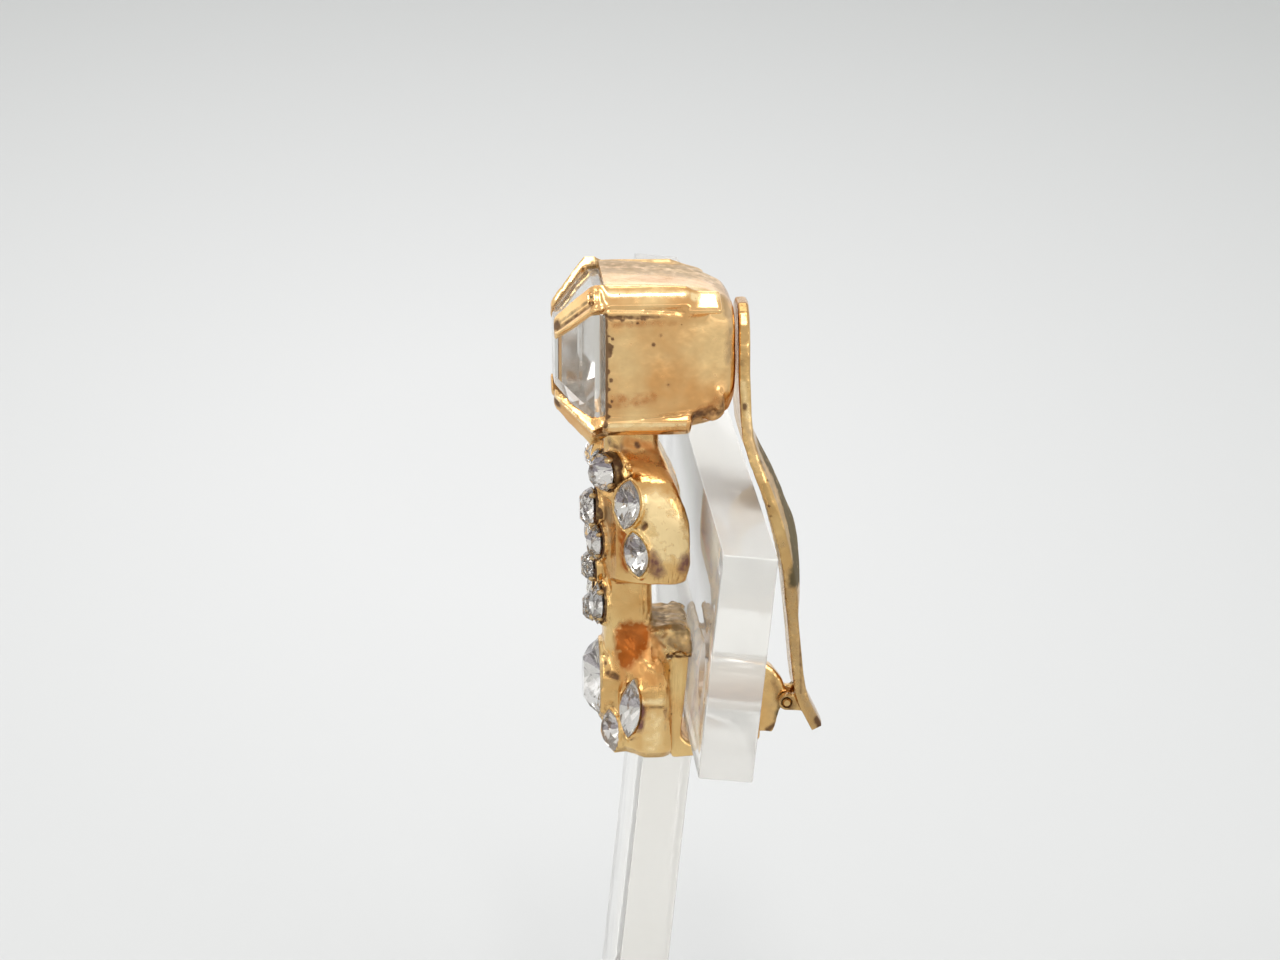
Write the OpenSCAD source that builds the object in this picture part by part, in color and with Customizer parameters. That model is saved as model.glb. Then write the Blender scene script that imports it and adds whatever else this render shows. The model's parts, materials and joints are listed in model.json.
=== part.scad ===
// A clip-on earring set with clear stones, on the bar of a clear T-shaped display stand.
// The origin is under the middle of the stand's base. The bar runs along X, the stones
// face -Y and the clip is at +Y. The earring has a frame of its own: x to its side,
// y back from the rim of the big setting, z up from its foot.

/* [Stand] */
// Length of the base, along the bar
base_w = 40; // [36:1:70]
// Depth of the base, front to back
base_d = 40; // [36:1:50]
// Thickness of the base
base_t = 5; // [4:0.5:8]
// Radius of the base's upright corners
base_r = 6; // [2:0.5:12]
// Length of the bar
bar_len = 76; // [70:1:90]
// Height of the bar
bar_h = 13.2; // [12.6:0.1:13.3]
// Thickness of the clear sheet
plate_t = 3.1; // [2.8:0.1:3.1]
// Width of the post
post_w = 12; // [8:1:16]
// Length of the sheet, from its foot to the top of the bar
plate_len = 50; // [45:1:80]
// Lean of the sheet, its top to the back
rake = 6; // [5:0.1:6.5]
// Radius of the hole near each end of the bar
hole_r = 1.6; // [1:0.1:2]
// Distance of each hole from the end of the bar
hole_in = 4.5; // [3.5:0.1:5]
// Height of each hole above the bar's lower edge
hole_up = 5; // [4:0.1:8]

/* [Big stone] */
// Distance of the earring from the middle of the bar
ear_x = 25; // [10:1:26]
// Half the width of the big setting at its rim
cup_half = 4.42; // [4.3:0.01:4.5]
// Depth of the big setting
cup_depth = 7.6; // [7:0.1:7.6]
// Height of its middle above the earring's foot
cup_z = 24.2; // [24.2:0.1:24.4]
// Thickness of its wall
cup_wall = 0.4; // [0.3:0.05:0.6]
// Half the width of the big stone at its girdle
stone_half = 3.98; // [3.9:0.01:4]
// Width of the stem along each corner
stem_w = 1.4; // [1:0.1:1.6]
// Width of a corner prong at its bend
prong_w = 1.7; // [1.4:0.1:1.8]
// Thickness of a corner prong, measured from the setting's middle
prong_t = 0.62; // [0.5:0.02:0.66]

/* [Small stones] */
// Wall of the collar round each small stone
collar_wall = 0.22; // [0.15:0.01:0.3]
// Height of a collar
collar_h = 0.9; // [0.8:0.1:1.2]
// Top of a bezel collar over its stone's girdle
bezel_top = 0.10; // [0.05:0.01:0.12]
// Top of a low collar, which leaves the stone's side open
open_top = -0.18; // [-0.2:0.01:0]

/* [Clip] */
// Thickness of the paddle's metal
paddle_t = 0.68; // [0.5:0.01:0.7]
// Half the width of the clip bracket
bracket_half = 2.55; // [2.4:0.05:2.8]
// Thickness of the hinge lug between the paddle's ears
lug_t = 1.1; // [0.9:0.05:1.3]
// Radius of the hinge pin
pin_r = 0.26; // [0.2:0.01:0.28]
// Thickness of a paddle ear
ear_t = 0.6; // [0.5:0.05:0.7]

/* [Hidden] */
$fn = 32;
// Gap between pieces, and round the pin
gap = 0.05;

// The foot of the sheet stands in a slot in the base
slot_deep = 3;
foot_z = base_t - slot_deep;
bar_top_z = foot_z + plate_len * cos(rake);
bar_top_y = -plate_t / 2 + plate_len * sin(rake);

// The front top edge of the bar, in the earring's frame
seat_y = 6.05;
seat_z = 15.4;
ear_y = bar_top_y - seat_y;
ear_z = bar_top_z - seat_z;

// Front face of the bar at a height in the earring's frame
function bar_face(z) = seat_y - (seat_z - z) * tan(rake);
// Back face of the bar at a height in the earring's frame
function bar_back(z) = bar_face(z) + plate_t / cos(rake);

// Big setting: depth, half width and corner cut, as shares of those at the rim
CUP_STEPS = [
    [1.00, 0.50, 0.60],
    [0.985, 0.63, 0.75],
    [0.93, 0.77, 0.90],
    [0.77, 0.89, 0.95],
    [0.53, 0.955, 1.00],
    [0.25, 0.99, 1.00],
    [0.00, 1.00, 1.00],
];
cup_cut = 1.30;
cavity_cut = 0.95;
girdle_z = -0.02;

// Big stone: height over the girdle, half width as a share, corner cut as a share
STONE_STEPS = [
    [-3.30, 0.12, 0.12],
    [-1.90, 0.60, 0.60],
    [0.00, 1.00, 1.00],
    [0.62, 1.00, 1.00],
    [2.38, 0.56, 0.62],
    [2.78, 0.45, 0.50],
];
stone_cut = 1.15;

// Stems and prongs, one for each corner, each bent over the stone by hand: corner's angle,
// how far the prong's outside is from the middle at its bend and at its tip, each with its
// shift along the corner's face
PRONGS = [
    [45, 5.55, -0.15, 2.97, -0.28],
    [135, 5.70, 0.00, 3.01, 0.00],
    [225, 5.85, 0.20, 3.57, 0.48],
    [315, 5.95, -0.25, 3.43, -0.42],
];
// Height over the rim of a prong's bend and of its tip
bend_z = 0.80;
tip_z = 2.72;

// Cast frame below the big setting, one row for each level:
// z, front half width, front y, bend x, bend y, side x, side y, back y
FRAME = [
    [0.35, 0.9, 0.50, 2.00, 1.05, 3.50, 2.20, 3.85],
    [0.90, 1.2, 0.15, 2.40, 0.80, 4.10, 2.20, 3.88],
    [4.60, 1.2, 0.10, 2.40, 0.75, 4.40, 2.20, 3.75],
    [6.20, 1.2, 0.08, 2.40, 0.70, 4.00, 2.00, 3.50],
    [7.70, 0.9, 0.05, 1.60, 0.20, 2.15, 0.50, 2.85],
    [10.70, 0.9, 0.05, 1.60, 0.20, 2.15, 0.50, 2.85],
    [11.05, 1.1, 0.05, 2.80, 0.66, 4.15, 2.50, 4.65],
    [12.20, 1.1, 0.05, 2.90, 0.68, 4.40, 2.68, 4.90],
    [14.70, 1.1, 0.05, 2.90, 0.68, 4.45, 2.70, 4.85],
    [16.20, 1.1, 0.05, 2.85, 0.66, 4.30, 2.65, 4.38],
    [17.10, 1.1, 0.06, 2.60, 0.62, 3.90, 2.40, 3.95],
    [18.60, 0.9, 0.10, 1.60, 0.45, 2.05, 1.00, 3.25],
    [20.05, 0.9, 0.15, 1.50, 0.50, 2.00, 1.10, 3.20],
];
back_bevel = 0.45;
// Hollow in the back of the upper wings: half width, front and height range
back_hollow_half = 3.5;
back_hollow_y = 3.4;
back_hollow_z = [12.3, 16.1];

// Stones on the middle line: name, y and z of the girdle's middle, radius, crown height,
// top of the collar
MIDDLE = [
    ["round_top", -0.10, 17.15, 0.90, 0.50, open_top],
    ["round_upper", -0.50, 14.70, 1.05, 0.75, open_top],
    ["round_middle", -0.52, 11.10, 0.90, 0.65, open_top],
    ["round_lower", -0.50, 8.60, 0.85, 0.60, open_top],
    ["round_big", -0.12, 4.30, 2.20, 0.95, bezel_top],
];

// Stones in pairs: name, shape, x, y, z, turn to the side, lean, half length,
// half width, crown height, top of the collar
PAIRS = [
    ["oval", "oval", 2.15, 0.02, 17.05, 40, 0, 1.18, 0.98, 0.60, open_top],
    ["navette_inner_upper", "navette", 1.38, -0.38, 12.90, 20, -5, 1.05, 0.66, 0.45, open_top],
    ["navette_inner_lower", "navette", 1.55, -0.28, 9.25, 22, 0, 1.25, 0.60, 0.40, open_top],
    ["navette_side_upper", "navette", 3.72, 1.30, 15.78, 54, -8, 1.50, 0.86, 0.55, bezel_top],
    ["navette_side_lower", "navette", 3.93, 1.80, 12.85, 54, 9, 1.32, 0.80, 0.50, bezel_top],
    ["petal_side", "navette", 3.59, 1.50, 3.45, 37, -9, 1.88, 0.92, 0.55, bezel_top],
    ["petal_foot", "navette", 2.20, 0.50, 1.68, 28, 12, 1.20, 0.70, 0.50, bezel_top],
];
SIDES = [["_right", 1], ["_left", -1]];

// Paddle, from the end of its tail to its top, one row for each section:
// y and z of its inner face at the rim, half width, depth of the dish
PADDLE = [
    [12.30, 1.05, 1.30, 0.05],
    [11.93, 1.80, 1.50, 0.05],
    [11.50, 2.70, 1.60, 0.05],
    [11.25, 3.50, 1.60, 0.05],
    [11.08, 4.60, 1.60, 0.05],
    [10.92, 6.20, 1.55, 0.05],
    [10.76, 8.00, 1.50, 0.05],
    [10.60, 9.60, 1.60, 0.12],
    [10.40, 11.00, 2.15, 0.30],
    [10.12, 12.30, 2.75, 0.50],
    [9.76, 13.70, 3.15, 0.60],
    [9.30, 15.20, 3.30, 0.60],
    [8.80, 16.60, 3.30, 0.50],
    [8.34, 17.90, 3.15, 0.30],
    [7.97, 19.20, 2.95, 0.12],
    [7.84, 20.50, 2.80, 0.05],
    [7.74, 23.00, 2.70, 0.05],
    [7.74, 24.80, 2.60, 0.05],
    [7.75, 25.80, 2.20, 0.05],
    [7.76, 26.50, 1.60, 0.05],
    [7.76, 26.90, 0.80, 0.05],
];
// Hinge axis
pivot_y = 10.82;
pivot_z = 2.80;
nose_r = 0.50;
ear_r = 0.48;
ear_gap = 0.07;
pin_half = lug_t / 2 + ear_gap + ear_t + 0.1;

STONES = concat(
    [for (m = MIDDLE) m[0]],
    [for (p = PAIRS) for (s = SIDES) str(p[0], s[0])]
);

// Closed solid through rings of points. Each ring is counter-clockwise seen from the
// end that the rings run towards.
module loft(rings) {
    n = len(rings[0]);
    last = (len(rings) - 1) * n;
    sides = [
        for (i = [0:len(rings) - 2]) for (j = [0:n - 1])
            let (a = i * n + j, b = i * n + (j + 1) % n)
                each [[a, a + n, b + n], [a, b + n, b]]
    ];
    ends = [[for (j = [0:n - 1]) j], [for (j = [n - 1:-1:0]) last + j]];
    polyhedron([for (r = rings) each r], concat(ends, sides), convexity = 8);
}

// Square with cut corners, at a height
function cut_square(half, cut, z) = [
    [half, cut - half, z], [half, half - cut, z], [half - cut, half, z], [cut - half, half, z],
    [-half, half - cut, z], [-half, cut - half, z], [cut - half, -half, z], [half - cut, -half, z],
];

// How far the cut face of such a corner is from the middle
function corner(half, cut) = half * sqrt(2) - cut / sqrt(2);

// Pointed oval of two arcs, its length along y
function navette(a, b, k = 6) =
    let (r = (a * a + b * b) / (2 * b), turn = asin(a / r))
        concat(
            [for (i = [0:k - 1]) let (t = turn * (2 * i / k - 1)) [b - r + r * cos(t), r * sin(t)]],
            [for (i = [0:k - 1]) let (t = turn * (1 - 2 * i / k)) [r - b - r * cos(t), r * sin(t)]]
        );

function oval(a, b, n = 12) = [for (i = [0:n - 1]) let (t = 360 * (i + 0.5) / n) [b * cos(t), a * sin(t)]];

function outline(shape, a, b) = shape == "navette" ? navette(a, b) : oval(a, b);

// An outline at a height, scaled, with its points moved to the middles of its edges
function ring(points, share, z) = [for (p = points) [p[0] * share, p[1] * share, z]];
function middles(points) =
    let (n = len(points))
        [for (i = [0:n - 1]) (points[i] + points[(i + 1) % n]) / 2];

// Stands a thing drawn face up, its front along +z, upright with its front along -y
module upright() {
    rotate([90, 0, 0]) children();
}

// A profile in y and z, drawn from x0 to x1
module side_profile(x0, x1, points) {
    translate([x0, 0, 0]) rotate([90, 0, 90]) linear_extrude(x1 - x0) polygon(points);
}

// A round bar along x through the hinge axis
module hinge_bar(x0, x1, r) {
    translate([x0, pivot_y, pivot_z]) rotate([0, 90, 0]) cylinder(h = x1 - x0, r = r);
}

module in_place() {
    translate([ear_x, ear_y, ear_z]) children();
}

// The clear sheet, with its faces moved out by a clearance
module sheet(c = 0) {
    translate([0, -plate_t / 2, foot_z]) rotate([-rake, 0, 0])
        translate([-post_w / 2 - c, -c, -c]) cube([post_w + 2 * c, plate_t + 2 * c, plate_len - bar_h / 2]);
}

module stand_base() {
    color("aliceblue", 0.5) difference() {
        linear_extrude(base_t) union() {
            square([base_w - 2 * base_r, base_d], center = true);
            square([base_w, base_d - 2 * base_r], center = true);
            for (x = [-1, 1]) for (y = [-1, 1])
                translate([x * (base_w / 2 - base_r), y * (base_d / 2 - base_r)]) circle(base_r);
        }
        sheet(gap);
    }
}

module stand_tee() {
    color("aliceblue", 0.5) difference() {
        union() {
            sheet();
            translate([0, -plate_t / 2, foot_z]) rotate([-rake, 0, 0])
                translate([-bar_len / 2, 0, plate_len - bar_h]) cube([bar_len, plate_t, bar_h]);
        }
        for (x = [-1, 1])
            translate([0, -plate_t / 2, foot_z]) rotate([-rake, 0, 0])
                translate([x * (bar_len / 2 - hole_in), -1, plate_len - bar_h + hole_up])
                    rotate([-90, 0, 0]) cylinder(h = plate_t + 2, r = hole_r);
    }
}

// A stem along one corner with its prong, drawn face up. A ring of it has an inner and an
// outer distance from the middle, a shift, a half width, a height, and a ridge or a groove
// along its middle.
stem_in = 4.80;
stem_rise = 0.36;
stem_ridge = 0.15;
prong_groove = -0.12;
function strap_ring(r_in, r_out, shift, half, z, ridge) = [
    [r_in, shift - half, z], [r_out - max(ridge, 0), shift - half, z],
    [r_out + min(ridge, 0), shift, z],
    [r_out - max(ridge, 0), shift + half, z], [r_in, shift + half, z],
];
function prong_ring(p, share, half, thick, z) =
    let (r_out = p[1] + share * (p[3] - p[1]), shift = p[2] + share * (p[4] - p[2]))
        strap_ring(r_out - thick, r_out, shift, half, z, prong_groove);
module corner_prong(p) {
    stem_out = corner(cup_half, cup_cut) + stem_rise;
    rotate([0, 0, p[0]]) loft([
        strap_ring(stem_in, stem_out - 0.12, 0, stem_w / 2 - 0.05, -4.95, stem_ridge),
        strap_ring(stem_in, stem_out, 0, stem_w / 2, -4.75, stem_ridge),
        strap_ring(stem_in + 0.25, stem_out, 0, stem_w / 2, -0.15, stem_ridge),
        strap_ring(stem_in + 0.25, stem_out, p[2] / 2, prong_w / 2, 0.15, prong_groove),
        strap_ring(stem_in + 0.18, p[1], p[2], prong_w / 2, bend_z, prong_groove),
        prong_ring(p, 0.5, prong_w / 2 - 0.05, prong_t, (bend_z + tip_z) / 2),
        prong_ring(p, 1, prong_w / 2 - 0.20, prong_t, tip_z),
        prong_ring(p, 1.07, prong_w / 2 - 0.35, prong_t - 0.20, tip_z + 0.10),
    ]);
}

module big_setting() {
    pocket = stone_half + gap;
    ledge = pocket - 0.10;
    inner_depth = cup_depth - cup_wall;
    translate([0, 0, cup_z]) upright() {
        difference() {
            loft([for (s = CUP_STEPS) cut_square(cup_half * s[1], cup_cut * s[2], -cup_depth * s[0])]);
            loft(concat(
                [for (i = [1:5]) let (s = CUP_STEPS[i])
                    cut_square(ledge - cup_half * (1 - s[1]), cavity_cut * s[2], -inner_depth * s[0])],
                [cut_square(ledge, cavity_cut, -0.12),
                 cut_square(pocket, stone_cut, -0.10),
                 cut_square(pocket, stone_cut, 0.50)]
            ));
        }
        for (p = PRONGS) corner_prong(p);
    }
}

module big_stone() {
    color("whitesmoke") in_place() translate([0, 0, cup_z]) upright()
        loft([for (s = STONE_STEPS) cut_square(stone_half * s[1], stone_cut * s[2], girdle_z + s[0])]);
}

// A small cut stone, face up, its girdle at z = 0
module gem(shape, a, b, crown) {
    rim = outline(shape, a, b);
    loft([
        ring(rim, 0.12, -0.75),
        ring(rim, 1.00, 0),
        ring(rim, 1.00, 0.06),
        ring(middles(rim), 0.84, 0.60 * crown),
        ring(rim, 0.55, crown),
    ]);
}

// The collar that holds a small stone, and the hollow for the stone in it
module collar(shape, a, b, top) {
    translate([0, 0, top - collar_h]) linear_extrude(collar_h)
        polygon(outline(shape, a + collar_wall, b + collar_wall));
}
module hollow(shape, a, b) {
    translate([0, 0, -0.24]) linear_extrude(1.5) polygon(outline(shape, a + gap, b + gap));
    translate([0, 0, -0.90]) linear_extrude(0.90) polygon(outline(shape, 0.80 * a, 0.80 * b));
}

// Puts a thing drawn face up at a seat on one side of the frame
module at_seat(x, y, z, turn, lean, side) {
    translate([side * x, y, z]) rotate([0, 0, side * turn]) upright()
        rotate([0, 0, side * lean]) children();
}

// One level of the frame below the big setting
function frame_ring(r) = [
    [-r[1], r[2], r[0]], [r[1], r[2], r[0]], [r[3], r[4], r[0]], [r[5], r[6], r[0]],
    [r[5], r[7] - back_bevel, r[0]], [r[5] - back_bevel, r[7], r[0]],
    [back_bevel - r[5], r[7], r[0]], [-r[5], r[7] - back_bevel, r[0]],
    [-r[5], r[6], r[0]], [-r[3], r[4], r[0]],
];

module cascade_setting() {
    difference() {
        union() {
            loft([for (r = FRAME) frame_ring(r)]);
            for (m = MIDDLE) at_seat(0, m[1], m[2], 0, 0, 1) collar("oval", m[3], m[3], m[5]);
            for (p = PAIRS) for (s = SIDES)
                at_seat(p[2], p[3], p[4], p[5], p[6], s[1]) collar(p[1], p[7], p[8], p[10]);
        }
        for (m = MIDDLE) at_seat(0, m[1], m[2], 0, 0, 1) hollow("oval", m[3], m[3]);
        for (p = PAIRS) for (s = SIDES)
            at_seat(p[2], p[3], p[4], p[5], p[6], s[1]) hollow(p[1], p[7], p[8]);
        translate([-back_hollow_half, back_hollow_y, back_hollow_z[0]])
            cube([2 * back_hollow_half, 3, back_hollow_z[1] - back_hollow_z[0]]);
    }
}

module middle_stone(m) {
    color("whitesmoke") in_place() at_seat(0, m[1], m[2], 0, 0, 1) gem("oval", m[3], m[3], m[4]);
}

module paired_stone(p, side) {
    color("whitesmoke") in_place() at_seat(p[2], p[3], p[4], p[5], p[6], side) gem(p[1], p[7], p[8], p[9]);
}

// Leg soldered to the frame's back, strip under the bar, and the hinge lug behind it
leg_front = 3.95;
leg_root = 3.40;
pad_over = 0.45;
pad_root = 2.60;
pad_z = [6.50, 8.00];
strip_end = 9.15;
function leg_back(z) = bar_face(z) - 0.1;
module clip_bracket() {
    difference() {
        union() {
            side_profile(-bracket_half, bracket_half, [
                [leg_front, 0], [5.50, 0], [strip_end, 1.00], [strip_end, 1.75], [5.00, 0.85],
                [leg_back(1.3), 1.3], [leg_back(6.8), 6.8], [leg_root, 6.8], [leg_root, 0.6],
                [leg_front, 0.4],
            ]);
            side_profile(-bracket_half - pad_over, bracket_half + pad_over, [
                [leg_root, pad_z[0]], [leg_back(pad_z[0]), pad_z[0]], [leg_back(7.5), 7.5],
                [4.90, pad_z[1] - 0.05], [pad_root, pad_z[1]], [pad_root, pad_z[1] - 0.4],
            ]);
            side_profile(-lug_t / 2, lug_t / 2, [
                [bar_back(1.0) + 0.3, 0.80], [9.60, 0.82], [10.05, 0.76], [10.28, 1.30],
                [10.42, 1.90], [10.55, 2.40], [pivot_y - 0.05, 2.60], [pivot_y + 0.05, 3.29],
                [10.62, 3.95], [10.05, 4.72], [9.40, 5.20], [8.60, 5.35],
                [bar_back(5.1) + 0.3, 5.10],
            ]);
            hinge_bar(-lug_t / 2, lug_t / 2, nose_r);
        }
        hinge_bar(-lug_t, lug_t, pin_r + gap);
    }
}

// All the cast and stamped metal that is soldered together
module soldered_frame() {
    color("goldenrod") in_place() union() {
        big_setting();
        cascade_setting();
        clip_bracket();
    }
}

module hinge_pin() {
    color("darkgoldenrod") in_place() hinge_bar(-pin_half, pin_half, pin_r);
}

// Unit normal of the paddle's line at row i, away from the bar
function paddle_normal(i) =
    let (
        a = PADDLE[max(i - 1, 0)], b = PADDLE[min(i + 1, len(PADDLE) - 1)],
        d = [b[0] - a[0], b[1] - a[1]]
    ) [d[1], -d[0]] / norm(d);

// One section of the paddle: across its inner face, then back across its outer face
function paddle_ring(i) =
    let (
        p = PADDLE[i], n = paddle_normal(i),
        across = [for (u = [-3:3]) u / 3],
        place = function (u, out)
            let (off = p[3] * (1 - u * u) + out)
                [u * p[2], p[0] + off * n[0], p[1] + off * n[1]]
    ) concat(
        [for (u = across) place(u, 0)],
        [for (k = [6:-1:0]) place(across[k], paddle_t)]
    );

module clip_paddle() {
    ear_in = lug_t / 2 + ear_gap;
    color("goldenrod") in_place() {
        loft([for (i = [0:len(PADDLE) - 1]) paddle_ring(i)]);
        for (x = [ear_in, -ear_in - ear_t]) difference() {
            union() {
                side_profile(x, x + ear_t, [
                    [pivot_y, 2.33], [11.85, 2.25], [11.62, 2.80], [11.48, 3.25], [pivot_y, 3.27],
                ]);
                hinge_bar(x, x + ear_t, ear_r);
            }
            hinge_bar(-2 * ear_in - ear_t, 2 * ear_in + ear_t, pin_r + gap);
        }
    }
}

stand_base();
stand_tee();
soldered_frame();
big_stone();
hinge_pin();
clip_paddle();
for (m = MIDDLE) middle_stone(m);
for (p = PAIRS) for (s = SIDES) paired_stone(p, s[1]);
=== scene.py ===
# %% [markdown]
# # A clip-on rhinestone earring on a clear display stand
#
# The earring is cast and stamped metal under a thin gold plate, set with foiled glass stones.
# It is clipped to the bar of a T cut from clear sheet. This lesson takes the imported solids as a
# fixed frame and gives each of them the form and finish that the eye expects: soft cast edges,
# cut facets over silver foil, polished acrylic, and the small pits and stains of an old plate.

# %% Load the frame
import json
import math
import random

import bmesh
import bpy
from mathutils import Matrix, Vector, kdtree, noise
from mathutils.geometry import intersect_point_line


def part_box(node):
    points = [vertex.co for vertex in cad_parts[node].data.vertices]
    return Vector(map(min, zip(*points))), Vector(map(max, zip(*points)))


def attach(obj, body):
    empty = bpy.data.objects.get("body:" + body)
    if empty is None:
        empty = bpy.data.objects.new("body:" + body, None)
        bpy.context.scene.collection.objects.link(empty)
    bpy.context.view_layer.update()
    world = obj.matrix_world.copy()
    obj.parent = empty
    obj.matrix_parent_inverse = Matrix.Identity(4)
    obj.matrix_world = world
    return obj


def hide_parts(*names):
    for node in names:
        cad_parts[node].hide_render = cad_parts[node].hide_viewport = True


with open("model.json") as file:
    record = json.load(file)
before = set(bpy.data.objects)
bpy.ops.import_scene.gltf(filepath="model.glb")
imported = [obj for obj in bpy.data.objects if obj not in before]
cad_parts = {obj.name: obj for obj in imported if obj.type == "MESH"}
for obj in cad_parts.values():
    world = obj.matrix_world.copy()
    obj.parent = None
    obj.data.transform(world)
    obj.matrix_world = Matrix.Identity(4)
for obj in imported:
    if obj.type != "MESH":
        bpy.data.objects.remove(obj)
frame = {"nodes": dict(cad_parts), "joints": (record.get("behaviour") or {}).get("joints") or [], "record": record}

scene = bpy.context.scene
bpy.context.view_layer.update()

# %% [markdown]
# ## One set of places
#
# The solids are in metres, but a piece this small is easier to think about in millimetres, so
# every new mesh is made in millimetres and is scaled once, when it is finished. The earring has
# its own origin at its foot: x to its side, y back from the rim of the big setting and z up.
# The hinge axis is the one point of it that the frame states, so the rest is measured from it.

# %% Units and the earring's own origin
MM = 0.001
TO_METRES = Matrix.Scale(MM, 4)
TO_MM = Matrix.Scale(1 / MM, 4)
PIVOT = Vector((0, 10.82, 2.8))
EAR = Vector(frame["joints"][0]["pos_m"]) / MM - PIVOT


def ear(x, y, z):
    """A place on the earring, in millimetres of the whole frame."""
    return EAR + Vector((x, y, z))


print("earring's origin in mm:", [round(c, 2) for c in EAR])

# %% [markdown]
# ## The camera
#
# The photograph was taken from beside the stand, almost along its bar, from 28 cm and with a
# long lens, so lines hardly converge. The camera is set from those facts and not by eye.

# %% Camera beside the stand
AZIMUTH = math.radians(86.2)
ELEVATION = math.radians(15.5)
DISTANCE = 280 * MM
LENS = 135.45
TARGET = (EAR + Vector((0, 2.25, 16.2))) * MM

away = Vector((
    math.sin(AZIMUTH) * math.cos(ELEVATION),
    -math.cos(AZIMUTH) * math.cos(ELEVATION),
    math.sin(ELEVATION),
))
camera_data = bpy.data.cameras.new("camera")
camera_data.lens = LENS
camera_data.sensor_width = 36
camera_data.clip_start = 0.01
camera = bpy.data.objects.new("camera", camera_data)
camera.location = TARGET + away * DISTANCE
camera.rotation_mode = "QUATERNION"
camera.rotation_quaternion = (-away).to_track_quat("-Z", "Y")
scene.collection.objects.link(camera)
scene.camera = camera
print("camera at, in metres:", [round(c, 3) for c in camera.location])

# %% [markdown]
# ## Helpers for materials
#
# A colour is easiest to compare with the object as the sRGB hex value that an eyedropper gives,
# and Blender's sockets want linear values, so one function turns the one into the other. One
# more adds a node of any kind with its settings and its links, which keeps each material short
# enough to read as a recipe: noise is taken to a range, and the range mixes two colours.


# %% Colours and nodes
def srgb(code):
    """A hex colour as the linear RGBA that the sockets want."""
    parts = [int(code[i:i + 2], 16) / 255 for i in (1, 3, 5)]
    return [c / 12.92 if c <= 0.04045 else ((c + 0.055) / 1.055) ** 2.4 for c in parts] + [1.0]


def add(tree, kind, inputs=None, **settings):
    """Adds a node. An input is given a number, a hex colour, a socket or a node's first output."""
    node = tree.nodes.new(kind)
    for key, value in settings.items():
        setattr(node, key, value)
    for key, value in (inputs or {}).items():
        if isinstance(value, bpy.types.Node):
            value = next(socket for socket in value.outputs if socket.enabled)
        if isinstance(value, bpy.types.NodeSocket):
            tree.links.new(value, node.inputs[key])
        else:
            node.inputs[key].default_value = srgb(value) if isinstance(value, str) else value
    return node


def new_material(name):
    """An empty material, its node tree and the object's own coordinates."""
    material = bpy.data.materials.new(name)
    material.use_nodes = True
    tree = material.node_tree
    tree.nodes.clear()
    print("material:", name)
    return material, tree, add(tree, "ShaderNodeTexCoord").outputs["Object"]


def surface(tree, inputs):
    """Adds the shader with its inputs, and joins it to the material's output."""
    shader = add(tree, "ShaderNodeBsdfPrincipled", inputs)
    add(tree, "ShaderNodeOutputMaterial", {"Surface": shader})


def sized(place, size, **more):
    """Inputs of a texture node whose pattern repeats about every size millimetres."""
    return {"Vector": place, "Scale": 1 / (size * MM), **more}


# %% [markdown]
# ## Gold plate on cast metal
#
# The settings and the bracket are cast in white metal and plated with a few microns of gold.
# A plate is a mirror, so nearly all of its look comes from what it reflects and from how flat
# it is: the casting's low waves bend the reflections, polishing leaves fine scratches and gas
# leaves pits. Hands rub the edges pale, and where they never reach the gold goes brown, olive
# and purple. Where on the piece that has happened is written on the mesh itself, point by
# point, in one layer for each kind of wear, and the material reads those layers. Some layers
# also hold painted light: painted highlights among the pale marks, a painted warm reflection,
# and a painted dark reflection in the olive marks of the paddle. Painted shade darkens the crevices.

# %% Kinds of wear and painted light
# For each kind: its colour, how much of it covers the gold, its roughness and how metallic it is.
WEAR_AND_PAINTED_LIGHT = {
    # pale serves both rubbed wear and painted highlights; the warm kind is a painted reflection, orange-brown and
    # less metallic so that it shows.
    "pale": ("#FFE3AA", 0.9, 0.2, 0.55),
    "dull": ("#AF926A", 0.8, 0.4, 0.75),
    "warm_reflection": ("#D39650", 0.88, 0.42, 0.3),
    "orange": ("#A04F0C", 0.92, 0.4, 0.9),
    # olive is tarnish, and on the paddle's back also a painted dark reflection.
    "olive": ("#423D22", 0.88, 0.75, 0.2),
    "purple": ("#6B3E46", 0.88, 0.42, 0.6),
    "brown": ("#573518", 0.9, 0.5, 0.4),
}
GOLD_PALE = "#F0CC8C"
GOLD_DEEP = "#D9A766"
# Painted shade, laid on the gold in the crevices.
GOLD_CREVICE_SHADE = "#6E4420"
PIT_COLOUR = "#54331A"
GOLD_ROUGHNESS = 0.19
print("kinds of wear:", ", ".join(WEAR_AND_PAINTED_LIGHT))

# Sizes of the plate's patterns in mm, and the angle of the brush strokes in degrees.
DRIFT_SIZE = 3.0
WAVE_SIZE = 1.5
GRAIN_SIZE = 0.5
SCRATCH_SIZE = 0.35
GASSY_SIZE = 2.2
PIT_SPACING = 0.9
PIT_WIDTH = 0.14
PIT_DEPTH = 0.05
RAGGED_SIZE = 0.45
RAGGED = 0.55
BRUSH_ACROSS = 0.16
BRUSH_ANGLE = 35
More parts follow.
